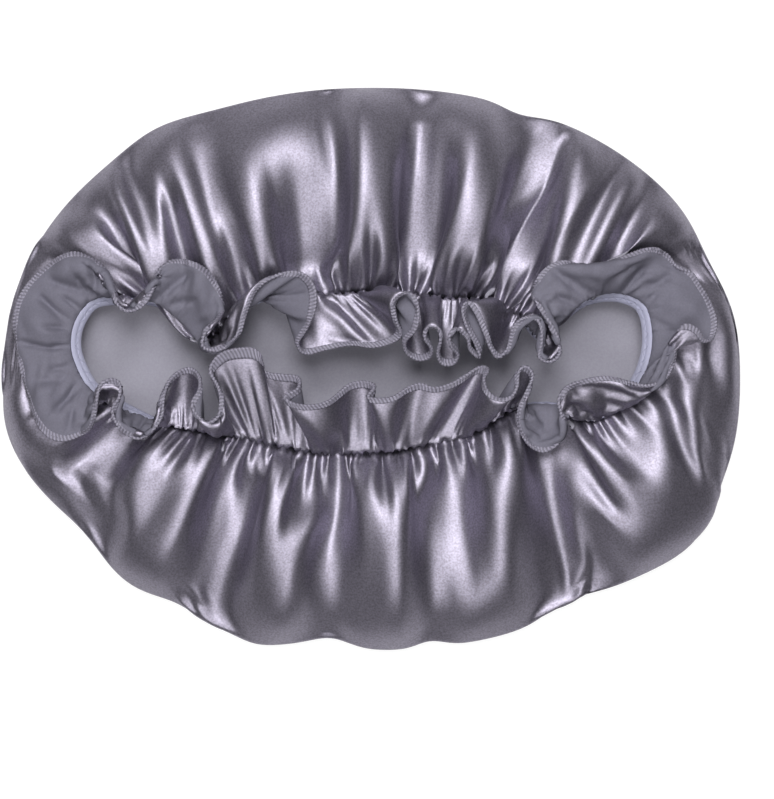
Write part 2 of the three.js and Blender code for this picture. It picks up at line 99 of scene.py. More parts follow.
# Bulges and creases of the ruffle's ends where they lie on the crown, in the same way
LOBE_FOLDS = (
    (-147, 40, -131, 35, -1.6, 2), (-152, 32, -140, 21, -1.6, 2), (-161, 12, -147, 9, -1.3, 1.4),
    (-149, 19, -141, 19, -1.4, 1.6), (-147, 10, -141, 10, -1.4, 1.4), (-146, 0, -139, 0, -1.4, 1.8),
    (-144, -18, -136, -8, -2, 2), (-139, -29, -138, -20, -1.6, 1.6), (-136, 42, -130, 36, -1.5, 1.6),
    (-128, 46, -127, 38, -1.5, 1.8), (-141, 32, -136, 28, -1.4, 1.4), (-152, -6, -144, -5, -1.2, 2.2),
    (-139, 45, -133, 44, 2, 6), (-155, 22, -150, 18, 1.6, 6), (-151, -10, -150, -18, 1.6, 6),
    (-98, 33, -84, 43, -1.8, 1.8), (-91, 30, -82, 31, -1.4, 1.5), (-80, 34, -77, 44, 1.5, 5),
    (84, 44, 99, 34, -2, 2.2), (85, 33, 94, 30, -1.6, 1.6), (103, 44, 113, 40, 2.4, 6),
    (114, 35, 124, 45, -2, 2), (126, 29, 130, 34, -1.5, 1.5), (129, 22, 137, 18, -1.5, 1.6),
    (128, 38, 136, 42, -1.4, 2.2), (140, 30, 146, 28, 1.5, 6),
)

# Swells of the crown's outline: angle in degrees, height and spread in degrees
OUTLINE_SWELLS = (
    (18, -3, 7), (60, -3, 5), (132, 3, 8), (189, 2.6, 7), (209, -6.5, 9), (230, -4, 6),
    (247, 2.5, 5), (261, -5, 6), (282, -3, 4), (310, -5.5, 7), (332, 8, 9), (347, 2, 8),
)

# Gathering line from the right end over the back: place, and the degrees where its folds meet the outline
MOUTH_ROUTE = (
    (129, 16, 5), (125, 30, 14), (113, 35, 22), (99, 32, 28), (88, 23, 33), (78, 14, 37),
    (68, 24, 43), (55, 31, 52), (34, 33, 66), (13, 35, 81), (-13, 35, 97), (-38, 34, 113),
    (-57, 30, 126), (-68, 20, 134), (-77, 11, 140), (-87, 20, 144), (-99, 30, 149),
    (-114, 33, 155), (-129, 32, 163), (-137, 22, 171), (-139, 11, 178), (-136, 0, 185),
    (-128, -12, 193), (-110, -21, 203), (-90, -27, 215), (-69, -30, 227), (-48, -35, 240),
    (-24, -39, 254), (-1, -39, 269), (22, -36, 283), (46, -30, 297), (67, -18, 309),
    (86, -17, 318), (101, -24, 327), (116, -16, 337), (126, -1, 349),
)

# Rim of the ruffle, from the dip in the left end over the left, the front, the right and the back
RIM_ROUTE = (
    (-111, 26, 38), (-117, 30, 37), (-119, 39, 33), (-124, 47, 28), (-130, 51, 26),
    (-137, 53, 25), (-144, 51, 25), (-151, 46, 24), (-158, 40, 23), (-163, 32, 23),
    (-165, 21, 24), (-164, 13, 22), (-162, 0, 23), (-158, -13, 23), (-154, -24, 24),
    (-149, -31, 25), (-142, -33, 26), (-135, -31, 29), (-129, -27, 33), (-126, -20, 38),
    (-125, -13, 41), (-123, -7, 41), (-118, -5, 40), (-115, -7, 40), (-115, -13, 41),
    (-118, -18, 41), (-117, -24, 40), (-113, -29, 38), (-107, -32, 37), (-101, -29, 38),
    (-96, -22, 39), (-95, -13, 37), (-93, -6, 33), (-88, -1, 30), (-83, 0, 31), (-79, -4, 35),
    (-79, -10, 39), (-82, -16, 41), (-79, -22, 42), (-75, -25, 42), (-70, -22, 42),
    (-69, -15, 41), (-70, -9, 39), (-74, 0, 36), (-69, 7, 36), (-61, 9, 36), (-54, 9, 35),
    (-51, 5, 32), (-51, 0, 30), (-48, -2, 29), (-41, -3, 30), (-34, -4, 31), (-34, -9, 35),
    (-40, -13, 38), (-36, -16, 39), (-27, -17, 39), (-20, -15, 37), (-15, -11, 33),
    (-10, -7, 30), (-3, -6, 29), (1, -8, 32), (-2, -13, 36), (3, -14, 37), (10, -13, 36),
    (16, -9, 34), (22, -7, 33), (28, -9, 34), (36, -7, 33), (43, -3, 31), (50, 1, 29),
    (53, 0, 31), (51, -5, 36), (53, -11, 40), (58, -14, 41), (63, -13, 42), (66, -8, 41),
    (67, -1, 40), (70, 1, 40), (73, -3, 40), (70, -11, 40), (67, -18, 38), (67, -26, 36),
    (71, -34, 34), (78, -38, 33), (84, -35, 34), (87, -29, 36), (86, -21, 38), (85, -14, 39),
    (88, -9, 38), (95, -6, 37), (106, -4, 36), (116, -6, 36), (125, -8, 36), (132, -6, 35),
    (137, 0, 33), (139, 8, 32), (140, 16, 34), (143, 20, 36), (148, 18, 36), (152, 13, 33),
    (156, 14, 30), (158, 21, 27), (156, 29, 25), (151, 38, 24), (147, 44, 25), (140, 47, 26),
    (136, 52, 25), (130, 55, 25), (123, 54, 26), (115, 51, 28), (106, 48, 30), (96, 47, 29),
    (87, 49, 27), (80, 46, 27), (75, 40, 29), (74, 33, 33), (77, 26, 38), (82, 19, 41),
    (85, 12, 41), (85, 6, 40), (81, 3, 39), (76, 5, 40), (77, 11, 41), (77, 17, 42),
    (75, 22, 42), (70, 23, 42), (65, 20, 42), (63, 14, 40), (61, 8, 38), (57, 5, 37),
    (54, 9, 39), (51, 16, 41), (47, 25, 42), (43, 30, 42), (41, 27, 42), (43, 19, 41),
    (47, 11, 38), (49, 5, 35), (45, 8, 36), (43, 14, 40), (38, 18, 41), (35, 15, 41),
    (36, 10, 39), (39, 6, 34), (37, 2, 32), (32, 2, 33), (30, 7, 36), (31, 13, 40),
    (30, 18, 41), (26, 19, 41), (24, 14, 40), (27, 9, 36), (26, 5, 32), (21, 4, 30),
    (16, 7, 32), (15, 12, 36), (20, 18, 41), (21, 26, 42), (19, 33, 42), (14, 34, 42),
    (10, 30, 42), (11, 22, 39), (13, 15, 34), (9, 12, 31), (1, 10, 29), (-10, 11, 28),
    (-21, 9, 28), (-31, 7, 29), (-34, 11, 32), (-30, 18, 38), (-26, 27, 42), (-26, 36, 42),
    (-30, 42, 40), (-36, 44, 39), (-44, 42, 38), (-52, 37, 38), (-57, 27, 40), (-60, 17, 40),
    (-65, 11, 38), (-71, 8, 38), (-77, 10, 40), (-76, 16, 41), (-71, 21, 38), (-69, 28, 32),
    (-70, 36, 28), (-75, 44, 26), (-84, 49, 25), (-92, 49, 27), (-98, 44, 32), (-100, 36, 37),
    (-104, 29, 39),
)
# Stations of the rim and the places on the mouth route, counted on past its end, that they hang from
RIM_ROOTS = (
    (0, 16.9), (18, 21.9), (39, 24.9), (55, 27.2), (83, 31.7), (101, 36.15), (120, 41.0),
    (133, 42.7), (165, 46.3), (180, 49.9), (191, 52.9),
)

Array = np.ndarray
Guide = Callable[[Array], None]
Colour = tuple[float, float, float, float]


def unit(vectors: Array) -> Array:
    """Vectors scaled to length 1."""
    return vectors / np.linalg.norm(vectors, axis=-1, keepdims=True)


def row_shares(rows: int) -> Array:
    """Share of the way across the cloth at each row, from 0 to 1."""
    return (np.arange(rows + 1) / rows)[:, None]


def spacing_around(ring: Array) -> Array:
    """Distance from each column of a ring of points to the next."""
    return np.linalg.norm(np.roll(ring, -1, axis=-2) - ring, axis=-1)


def with_height(flat: Array, height: Array) -> Array:
    """Points from their places seen from above and their heights."""
    return np.concatenate([flat, height[..., None]], axis=-1)


def lengths_along(line: Array) -> Array:
    """Length from the start of an open line to each of its points."""
    return np.concatenate([[0], np.cumsum(np.linalg.norm(np.diff(line, axis=0), axis=1))])


def between_points(at: Array, places: Array, points: Array) -> Array:
    """Points on a line of straight spans.

    Args:
        at: places along the line.
        places: places along the line of its own points.
        points: the line's own points.

    Returns:
        One point for each place asked for.
    """
    return np.stack([np.interp(at, places, column) for column in points.T], axis=-1)


@dataclass
class ClosedPath:
    """A smooth closed line through stations, a centripetal cubic.

    Each span is a Hermite cubic whose end slopes come from the two spans beside each station, with
    spans timed by the square root of their chord, so that the line neither loops nor overshoots.
    """

    stations: Array
    per_span: int = 12
    line: Array = field(init=False)
    lengths: Array = field(init=False)

    def __post_init__(self) -> None:
        """Samples the line and adds up its length."""
        here = np.asarray(self.stations, float)
        ahead = np.roll(here, -1, axis=0)
        time = np.sqrt(np.linalg.norm(ahead - here, axis=1))[:, None]
        before = np.roll(time, 1, axis=0)
        rate = (ahead - here) / time
        slope = (np.roll(rate, 1, axis=0) * time + rate * before) / (time + before)
        t = (np.arange(self.per_span) / self.per_span)[None, :, None]
        spread = [v[:, None, :] for v in (here, ahead, slope * time, np.roll(slope, -1, axis=0) * time)]
        rise = t * t * (3 - 2 * t)
        line = spread[0] * (1 - rise) + spread[1] * rise
        line = line + spread[2] * t * (1 - t) ** 2 - spread[3] * t * t * (1 - t)
        self.line = line.reshape(-1, here.shape[1])
        self.lengths = lengths_along(np.vstack([self.line, self.line[:1]]))

    @property
    def girth(self) -> float:
        """Length once round."""
        return float(self.lengths[-1])

    def length_at(self, station: Array) -> Array:
        """Length along the line up to a station, counted on past the end.

        Args:
            station: places by station number, whole numbers at the stations.

        Returns:
            The lengths from station 0.
        """
        count = len(self.stations)
        laps, part = np.divmod(np.asarray(station, float), count)
        samples = np.arange(len(self.lengths)) / self.per_span
        return laps * self.girth + np.interp(part, samples, self.lengths)

    def at_length(self, length: Array) -> Array:
        """Places on the line.

        Args:
            length: lengths from station 0, of any number of laps.

        Returns:
            One point for each length.
        """
        closed = np.vstack([self.line, self.line[:1]])
        return between_points(np.mod(length, self.girth), self.lengths, closed)


class Way(Enum):
    """Which way threads of the cloth run, by the axis of the grid."""

    ACROSS = 0
    AROUND = 1


@dataclass
class ClothRing:
    """A ring of cloth as a grid that keeps its threads' lengths.

    Attributes:
        points: rows across the cloth by columns round it.
        held: rows that don't move.
        across: rest lengths from each row to the next.
        around: rest lengths from each column to the next.
        free: how freely each point moves, 0 where it is held.
    """

    points: Array
    held: list[int]
    across: Array
    around: Array
    free: Array = field(init=False)
    # Share of its error that a thread mends in one pull: straight, aslant, and over two cells against bends
    thread_hold: float = 0.9
    slant_hold: float = 0.25
    bend_hold_around: float = 0.06
    bend_hold_across: float = 0.12

    def __post_init__(self) -> None:
        """Frees all rows but the held ones."""
        self.free = np.ones(self.points.shape[:2])
        self.free[self.held] = 0

    @staticmethod
    def _pull(a: Array, b: Array, rest: Array, free_a: Array, free_b: Array, hold: float) -> None:
        """Moves the two ends of threads, in place, towards their rest length.

        Each end moves along its thread by a share of the error in length, the more the freer it is.

        Args:
            a: points at one end.
            b: points at the other end.
            rest: lengths at rest.
            free_a: how freely the points of a move.
            free_b: how freely the points of b move.
            hold: share of the error that is mended.
        """
        gap = b - a
        length = np.sqrt(np.einsum("...k,...k", gap, gap)) + TINY
        share = hold * (length - rest) / (length * (free_a + free_b + TINY))
        a += gap * (share * free_a)[..., None]
        b -= gap * (share * free_b)[..., None]

    def _pull_threads(self, way: Way, step: int, hold: float) -> None:
        """Pulls rows or columns that lie a step apart.

        Args:
            way: which way the threads run.
            step: how many cells a thread spans.
            hold: share of the error that is mended.
        """
        axis, count = way.value, self.points.shape[way.value]
        last = count - step if way is Way.ACROSS else count
        threads = self.across if way is Way.ACROSS else self.around
        for start in range(2 * step):
            near = np.arange(start, last, 2 * step)
            far = (near + step) % count
            rest = sum(threads.take((near + k) % count, axis) for k in range(step))
            a, b = self.points.take(near, axis), self.points.take(far, axis)
            self._pull(a, b, rest, self.free.take(near, axis), self.free.take(far, axis), hold)
            pick = (slice(None),) * axis
            self.points[(*pick, near)] = a
            self.points[(*pick, far)] = b

    def _pull_diagonals(self, hold: float) -> None:
        """Pulls both diagonals of each cell, which keeps the weave square.

        Args:
            hold: share of the error that is mended.
        """
        rows = len(self.points)
        for start in (0, 1):
            near, far = slice(start, rows - 1, 2), slice(start + 1, rows, 2)
            rest = np.hypot(self.across[near], self.around[near])
            for way in (1, -1):
                a, b = self.points[near], np.roll(self.points[far], -way, axis=1)
                free_b = np.roll(self.free[far], -way, axis=1)
                self._pull(a, b, rest, self.free[near], free_b, hold)
                self.points[far] = np.roll(b, way, axis=1)

    def relax(self, passes: int, guide: Guide) -> None:
        """Pulls every thread towards its length, over and over.

        Args:
            passes: how many times.
            guide: called after each pass, to keep the cloth off what it lies on.
        """
        for _ in range(passes):
            self._pull_threads(Way.AROUND, 1, self.thread_hold)
            self._pull_threads(Way.ACROSS, 1, self.thread_hold)
            self._pull_diagonals(self.slant_hold)
            self._pull_threads(Way.AROUND, 2, self.bend_hold_around)
            self._pull_threads(Way.ACROSS, 2, self.bend_hold_across)
            guide(self.points)


def smooth_step(values: Array) -> Array:
    """A rise from 0 to 1 over values 0 to 1, three squares less two cubes, so level at both ends."""
    t = np.clip(values, 0, 1)
    return t * t * (3 - 2 * t)


def on_columns(grid: Array, columns: int) -> Array:
    """A ring of points on fewer columns, or on more by a cubic through the old ones.

    Args:
        grid: rows by columns of points.
        columns: the new number of columns.

    Returns:
        The same rows on the new columns.
    """
    count = grid.shape[1]
    if count >= columns:
        return grid[:, :: count // columns]
    at = np.arange(columns) * count / columns
    low = at.astype(int)
    t = (at - low)[:, None]
    before, here, ahead, beyond = (grid[:, (low + k) % count] for k in (-1, 0, 1, 2))
    bend = (2 * before - 5 * here + 4 * ahead - beyond) * t**2
    bend = bend + (3 * (here - ahead) + beyond - before) * t**3
    return here + ((ahead - before) * t + bend) / 2


def outline_at(angle: Array) -> Array:
    """The crown's outline: a superellipse, with a bell curve of the angle for each swell.

    Args:
        angle: angles round the middle, in degrees.

    Returns:
        Points seen from above.
    """
    turn = np.radians(angle)
    power = CROWN_SQUARENESS
    reach = np.abs(np.cos(turn) * 2 / CROWN_LENGTH) ** power
    reach = (reach + np.abs(np.sin(turn) * 2 / CROWN_WIDTH) ** power) ** (-1 / power)
    for at, height, spread in OUTLINE_SWELLS:
        away = (angle - at + 180) % 360 - 180
        reach = reach + height * np.exp(-((away / spread) ** 2))
    return reach[:, None] * np.stack([np.cos(turn), np.sin(turn)], axis=1)


def fold_lift(points: Array, folds: tuple[tuple[float, ...], ...], taper: float = 0) -> Array:
    """Bulges and creases: for each, its height times a bell curve of the distance from its line.

    Args:
        points: points of the cloth.
        folds: rows of a line's start and end, its height and its spread.
        taper: share of the height that is lost from a line's start to its end.

    Returns:
        The height that the folds add at each point.
    """
    height = np.zeros(points.shape[:-1])
    for x, y, end_x, end_y, rise, spread in folds:
        span = np.array([end_x - x, end_y - y], float)
        from_start = points[..., :2] - (x, y)
        along = np.clip(from_start @ span / (span @ span), 0, 1)
        beside = np.linalg.norm(from_start - along[..., None] * span, axis=-1)
        height += rise * (1 - taper * along) * np.exp(-((beside / spread) ** 2))
    return height


@dataclass
class Layout:
    """Where each column of the cloth crosses the rim, the gathering line and the outline."""

    rim: Array = field(init=False)
    rim_girth: float = field(init=False)
    root: Array = field(init=False)
    mouth: Array = field(init=False)
    outward: Array = field(init=False)
    angle: Array = field(init=False)
    outline: Array = field(init=False)
    pucker: Array = field(init=False)
    # How far outward the ruffle's rim lies where it covers the crown in full
    cover_reach: float = 12
    # Puckers: the widths of one in columns of the grid, their mean, and the seed that draws them
    pucker_columns: tuple[float, float] = (5.2, 8.8)
    pucker_mean: int = 7
    pucker_seed: int = 5
    pucker_sway: float = 0.9
    # Share of them that is lost where the ruffle covers the crown
    pucker_calm: float = 0.85

    def __post_init__(self) -> None:
        """Spaces the columns evenly along the rim and finds their roots on the mouth route."""
        route = np.array(MOUTH_ROUTE, float)
        mouth_path = ClosedPath(route[:, :2])
        rim_path = ClosedPath(np.array(RIM_ROUTE, float))
        self.rim_girth = rim_path.girth
        stations, places = np.array(RIM_ROOTS, float).T
        along = rim_path.girth * np.arange(COLUMNS) / COLUMNS
        self.rim = rim_path.at_length(along)
        self.root = np.interp(along, rim_path.length_at(stations), places)
        self.mouth = mouth_path.at_length(mouth_path.length_at(self.root))
        step = unit(np.roll(self.mouth, -2, axis=0) - np.roll(self.mouth, 2, axis=0))
        self.outward = np.stack([step[:, 1], -step[:, 0]], axis=1)
        fan = np.concatenate([route[:, 2], route[:, 2] + 360])
        self.angle = np.interp(self.root, np.arange(len(fan)), fan)
        self.outline = outline_at(self.angle)
        self.pucker = self._pucker_phase()
        log.info("layout: rim %.0f mm, mouth %.0f mm", rim_path.girth, mouth_path.girth)

    def _pucker_phase(self) -> Array:
        """Draws the widths of the fine puckers.

        Returns:
            The puckers' phase at each column, in radians.
        """
        count = COLUMNS // self.pucker_mean
        widths = np.random.default_rng(self.pucker_seed).uniform(*self.pucker_columns, count)
        edges = np.concatenate([[0], np.cumsum(widths)]) * COLUMNS / widths.sum()
        return TURN * np.interp(np.arange(COLUMNS), edges, np.arange(len(edges)))

    @property
    def covered(self) -> Array:
        """How far the ruffle lies outward on the crown at each column, from 0 to 1."""
        reach = np.einsum("ij,ij->i", self.rim[:, :2] - self.mouth, self.outward)
        return smooth_step(reach / self.cover_reach)

    def gathered(self) -> Array:
        """The gathered row, which is the mouth line with its puckers.

        Returns:
            One point for each column.
        """
        loose = 1 - self.pucker_calm * self.covered
        sway = (self.pucker_sway * loose * np.cos(2 * self.pucker))[:, None]
        rise = NECK_HEIGHT + PUCKER_HEIGHT * loose * np.sin(self.pucker)
        return with_height(self.mouth + self.outward * sway, rise)


@dataclass
class CrownDrape:
    """The crown's cloth from the gathered row over the upper layer and the outline to the base."""

    layout: Layout
    points: Array = field(init=False)
    # The outline's height, its turn down to the underside, and the gap under that
    outline_height: float = 10
    outline_turn: float = 13
    floor_gap: float = 0.25
    # Radius of the ring in the middle of the underside, as a share of the underside
    base_hole: float = 0.02
    # Rise at back and front, and the power by which it fades towards the ends
    crown_puff: float = 6
    puff_power: float = 4
    # Powers of the curve by which the crown falls from the mouth to the outline
    shoulder_start: float = 3
    shoulder_end: float = 0.6
    # Cloth at the mouth for each length of tape, and the power by which it fades towards the outline
    gather_fullness: float = 1.7
    fullness_fade: float = 2.4
    # How far from the mouth a coarse grid takes it up in full, for each column that the grid leaves out
    gather_reach: float = 1.4
    # Share of that fullness which the two ends lack, and the power by which they are set apart
    end_calm: float = 0.85
    end_power: float = 3
    # Folds start over a length from the mouth, and end over the way to the outline divided by a number
    fold_start: float = 10
    bulge_end: float = 11
    crease_end: float = 6
    # Share of its depth that a crease loses along its line, and most depth below the smooth crown
    crease_taper: float = 0.85
    crease_depth: float = 10
    # Steepest rise from the mouth, in the open and where the ruffle lies on the crown
    rise_slope: float = 0.9
    covered_slope: float = 0.25
    # Rows of the turn and of the underside, and the power that crowds the upper rows towards the outline
    turn_rows: int = 5
    base_rows: int = 6
    row_crowding: float = 1.35
    # Levels that are relaxed in turn: columns, passes, and how far out cloth is taken up
    crown_levels: tuple[tuple[int, int, float], ...] = ((60, 60, 120), (180, 60, 26), (720, 40, 7))

    def __post_init__(self) -> None:
        """Relaxes the upper layer from coarse columns to fine, which raises broad folds first."""
        smooth = self._smooth_layer()
        around = self._cloth_around(smooth)
        across = np.linalg.norm(np.diff(smooth, axis=0), axis=2)
        away = np.cumsum(across, axis=0) - across[:1]
        away = np.concatenate([away[:1], away])
        lift = self._fold_heights(smooth, away)
        for level, passes, reach in self.crown_levels:
            step = COLUMNS // level
            base = smooth[:, ::step]
            points = base + on_columns(lift, level)
            if step == 1:
                self._pucker(points, away)
            from_mouth = away[:, ::step]
            taken_up = smooth_step(from_mouth / (self.gather_reach * step)) if step > 1 else 1
            taken_up = taken_up * smooth_step(2 - 2 * from_mouth / reach)
            length = around.reshape(len(around), level, step).sum(axis=2)
            now = spacing_around(points)
            rest = now + np.maximum(length - now, 0) * taken_up
            ring = ClothRing(points, [0, -1], across[:, ::step], rest)
            most = self._ceiling(away)[:, ::step]
            ring.relax(passes, self._bounds(base[..., 2] - self.crease_depth, most))
            lift = ring.points - base
        self.points = np.concatenate([ring.points, self._base()[1:]])

    def _smooth_layer(self) -> Array:
        """The upper layer without folds.

        Each column runs straight from the mouth to the outline seen from above, and its height falls
        on a shoulder curve with a puff at back and front.

        Returns:
            Rows from the mouth to the outline.
        """
        reach = 1 - (1 - row_shares(CROWN_ROWS)) ** self.row_crowding
        mouth, outline = self.layout.mouth, self.layout.outline
        flat = mouth + (outline - mouth) * reach[..., None]
        fall = (1 - reach**self.shoulder_start) ** self.shoulder_end
        sideways = np.sin(np.radians(self.layout.angle)) ** self.puff_power
        puff = self.crown_puff * sideways * np.sin(math.pi * reach) ** 2
        height = self.outline_height + (NECK_HEIGHT - self.outline_height) * fall + puff
        return with_height(flat, height)

    def _cloth_around(self, smooth: Array) -> Array:
        """Cloth between columns: full at the mouth, and no more than it needs at the outline.

        Args:
            smooth: the upper layer without folds.

        Returns:
            Lengths of cloth from each column to the next.
        """
        bare = spacing_around(smooth)
        spare = (1 - row_shares(CROWN_ROWS)) ** self.fullness_fade
        full = bare[-1] + (self.gather_fullness * bare[0].mean() - bare[-1]) * spare
        at_ends = np.abs(np.cos(np.radians(self.layout.angle))) ** self.end_power
        return full + (bare - full) * self.end_calm * at_ends

    def _fold_heights(self, smooth: Array, away: Array) -> Array:
        """Listed folds, which fade towards the mouth and the outline.

        Args:
            smooth: the upper layer without folds.
            away: how far each point lies from the mouth along the cloth.

        Returns:
            How far the folds lift each point.
        """
        left = 1 - away / away[-1]
        height = fold_lift(smooth, CROWN_BULGES) * smooth_step(left * self.bulge_end)
        height += fold_lift(smooth, CROWN_CREASES, self.crease_taper) * smooth_step(left * self.crease_end)
        height *= smooth_step(away / self.fold_start)
        return with_height(np.zeros((*height.shape, 2)), height)

    def _pucker(self, points: Array, away: Array) -> None:
        """Adds the fine puckers beside the gathered row, and sets that row itself.

        Args:
            points: the upper layer, which is changed in place.
            away: how far each point lies from the mouth along the cloth.
        """
        fine = np.exp(-((away / PUCKER_REACH) ** PUCKER_FALL)) * np.sin(self.layout.pucker)
        points[..., 2] += PUCKER_HEIGHT * fine
        points[0] = self.layout.gathered()

    def _ceiling(self, away: Array) -> Array:
        """Most height of each point: a slope up from the mouth, gentle where the ruffle lies on top."""
        slope = self.rise_slope + (self.covered_slope - self.rise_slope) * self.layout.covered
        return NECK_HEIGHT + PUCKER_HEIGHT + away * slope

    @staticmethod
    def _bounds(least: Array, most: Array) -> Guide:
        """What keeps the creases up, on the cloth bunched under them, and the bulges down.

        Args:
            least: the least height of each point.
            most: the most height of each point.

        Returns:
            A function that moves points between their bounds.
        """

        def guide(cloth: Array) -> None:
            """Moves the cloth's points in place."""
            np.clip(cloth[..., 2], least, most, out=cloth[..., 2])

        return guide

    def _base(self) -> Array:
        """The crown below its outline: a quarter turn inward, then flat to a small ring in the middle.

        Returns:
            Rows from the outline to the ring.
        """
        outline = self.layout.outline
        turn = row_shares(self.turn_rows) * math.pi / 2
        inset = self.outline_turn * (1 - np.cos(turn)) / np.linalg.norm(outline, axis=1)
        height = self.floor_gap + (self.outline_height - self.floor_gap) * (1 - np.sin(turn))
        curve = with_height(outline * (1 - inset)[..., None], np.broadcast_to(height, inset.shape))
        scale = np.linspace(1, self.base_hole, self.base_rows + 1)[1:, None] * (1 - inset[-1])
        flat = with_height(outline * scale[..., None], np.full(scale.shape, self.floor_gap))
        return np.concatenate([curve, flat])


@dataclass
class RuffleDrape:
    """The ruffle's cloth from the gathered row to its rim."""

    layout: Layout
    crown: CrownDrape
    points: Array = field(init=False)
    # Cloth at the mouth for each length of tape, and how far out the rim's length is taken up in full
    ruffle_fullness: float = 1.3
    ruffle_reach: float = 10
    # Share of the way to its route that the rim is drawn in one pass
    rim_pull: float = 0.7
    # Lobes, where the ruffle lies outward on the crown: the share of fullness that they lack
    lobe_calm: float = 0.85
    # The strength of their folds, their rise, and their lean with the columns that it is blurred over
    lobe_fold: float = 2.2
    lobe_rise: float = 2.5
    lobe_lean: float = 6
    lobe_blur: int = 12
    # Room between the ruffle and the crown, by the mouth and at the rim
    ruffle_clear: float = 1
    rim_clear: float = 2.6
    # The lobes' folds and that room start over the ruffle's width divided by a number
    lobe_start: float = 5
    clear_start: float = 4
    # Cell of the map of the crown's heights
    map_cell: float = 3
    # Where the ruffle's lines turn from rising to running out to the rim
    knee_reach: float = 0.2
    knee_least: float = 6
    knee_rise: float = 0.8
    # Levels that are relaxed in turn: columns and passes
    ruffle_levels: tuple[tuple[int, int], ...] = ((240, 100), (720, 50))

    def __post_init__(self) -> None:
        """Lofts the ruffle to its rim route, then relaxes it from coarse columns to fine."""
        gathered, rim = self.layout.gathered(), self.layout.rim
        smooth = self._loft(with_height(self.layout.mouth, np.full(COLUMNS, NECK_HEIGHT)))
        bare = spacing_around(self.layout.mouth)
        share = row_shares(RUFFLE_ROWS)
        full = self.layout.rim_girth / COLUMNS
        spare = self.ruffle_fullness * bare.mean()
        around = spare + (full - spare) * share
        around = bare + (around - bare) * smooth_step(share * RUFFLE_WIDTH / self.ruffle_reach)
        around = around + (spacing_around(smooth) - around) * self.lobe_calm * self.layout.covered
        ground = self._ground()
        points = smooth
        for level, passes in self.ruffle_levels:
            step = COLUMNS // level
            points = on_columns(points, level)
            if step == 1:
                fade = np.exp(-((share * RUFFLE_WIDTH / PUCKER_REACH) ** PUCKER_FALL))[..., None]
                points = points + (gathered - smooth[0]) * fade
            lengths = around.reshape(len(around), level, step).sum(axis=2)
            across = np.full((RUFFLE_ROWS, level), RUFFLE_WIDTH / RUFFLE_ROWS)
            ring = ClothRing(points.copy(), [0], across, lengths)
            ring.relax(passes, self._guide(rim[::step], ground))
            points = ring.points
        folded = self.lobe_fold * fold_lift(points, LOBE_FOLDS) * smooth_step(share * self.lobe_start)
        points[..., 2] += (folded + self.lobe_rise * np.sin(math.pi * share)) * self.layout.covered
        self._guide(rim, ground)(points)
        self.points = points

    def _guide(self, rim: Array, ground: Array) -> Guide:
        """What keeps the ruffle in place after each pass.

        Args:
            rim: the rim's route, one point for each column.
            ground: height map of the crown.

        Returns:
            A function that draws the rim to its route and keeps the ruffle above the crown.
        """
        share = row_shares(RUFFLE_ROWS)
        room = self.ruffle_clear + (self.rim_clear - self.ruffle_clear) * share
        clear = smooth_step(share * self.clear_start) * room

        def guide(cloth: Array) -> None:
            """Moves the cloth's points in place.

            Args:
                cloth: rows from the gathered row to the rim.
            """
            cloth[-1] += self.rim_pull * (rim - cloth[-1])
            under = np.where(clear > 0, ground[self._cell(cloth)] + clear, 0)
            np.maximum(cloth[..., 2], under, out=cloth[..., 2])

        return guide

    def _loft(self, gathered: Array) -> Array:
        """The ruffle before it is relaxed.

        Each line is a quadratic curve that rises from the gathered row, and leans outward by the
        lobes, before it turns to the rim.

        Args:
            gathered: the gathered row without its puckers.

        Returns:
            Rows from the gathered row to the rim.
        """
        rim = self.layout.rim
        near = [np.roll(self.layout.covered, k) for k in range(-self.lobe_blur, self.lobe_blur + 1)]
        knee = gathered + (rim - gathered) * self.knee_reach
        knee[:, :2] += self.layout.outward * (self.lobe_lean * np.mean(near, axis=0))[:, None]
        knee[:, 2] = NECK_HEIGHT + np.maximum(self.knee_least, self.knee_rise * (rim[:, 2] - NECK_HEIGHT))
        t = row_shares(RUFFLE_ROWS)[..., None]
        return gathered * (1 - t) ** 2 + knee * 2 * t * (1 - t) + rim * t**2

    def _cell(self, points: Array) -> tuple[Array, Array]:
        """Cells of the height map under points.

        Args:
            points: points of the cloth.

        Returns:
            Numbers of the cells along X and along Y.
        """
        last = 2 * CROWN_LENGTH / self.map_cell
        place = np.clip((points[..., :2] + CROWN_LENGTH) / self.map_cell, 0, last)
        return tuple(np.moveaxis(place.astype(int), -1, 0))

    def _ground(self) -> Array:
        """The crown's upper layer on a map of small cells, each as high as its highest neighbour.

        Returns:
            Heights by cell along X and along Y.
        """
        size = int(2 * CROWN_LENGTH / self.map_cell) + 1
        ground = np.zeros((size, size))
        upper = self.crown.points[1 : CROWN_ROWS + 1]
        np.maximum.at(ground, self._cell(upper), upper[..., 2])
        for axis in (0, 1):
            ground = np.maximum(ground, np.maximum(np.roll(ground, 1, axis), np.roll(ground, -1, axis)))
        return ground


def srgb(code: str) -> Colour:
    """A colour for a shader socket, by the curve of the sRGB standard.

    Args:
        code: sRGB colour as #rrggbb.

    Returns:
        The linear colour with alpha 1.
    """
    parts = [int(code[k : k + 2], 16) / 255 for k in (1, 3, 5)]
    linear = [p / 12.92 if p <= 0.04045 else ((p + 0.055) / 1.055) ** 2.4 for p in parts]
    return (*linear, 1.0)


def feed(tree: bpy.types.NodeTree, socket: bpy.types.NodeSocket, value: object) -> None:
    """Sets a socket to a value, or links it.

    Args:
        tree: the material's nodes.
        socket: the socket that takes the value.
        value: a value, or a socket to link from.
    """
    if isinstance(value, bpy.types.NodeSocket):
        tree.links.new(value, socket)
    else:
        socket.default_value = value


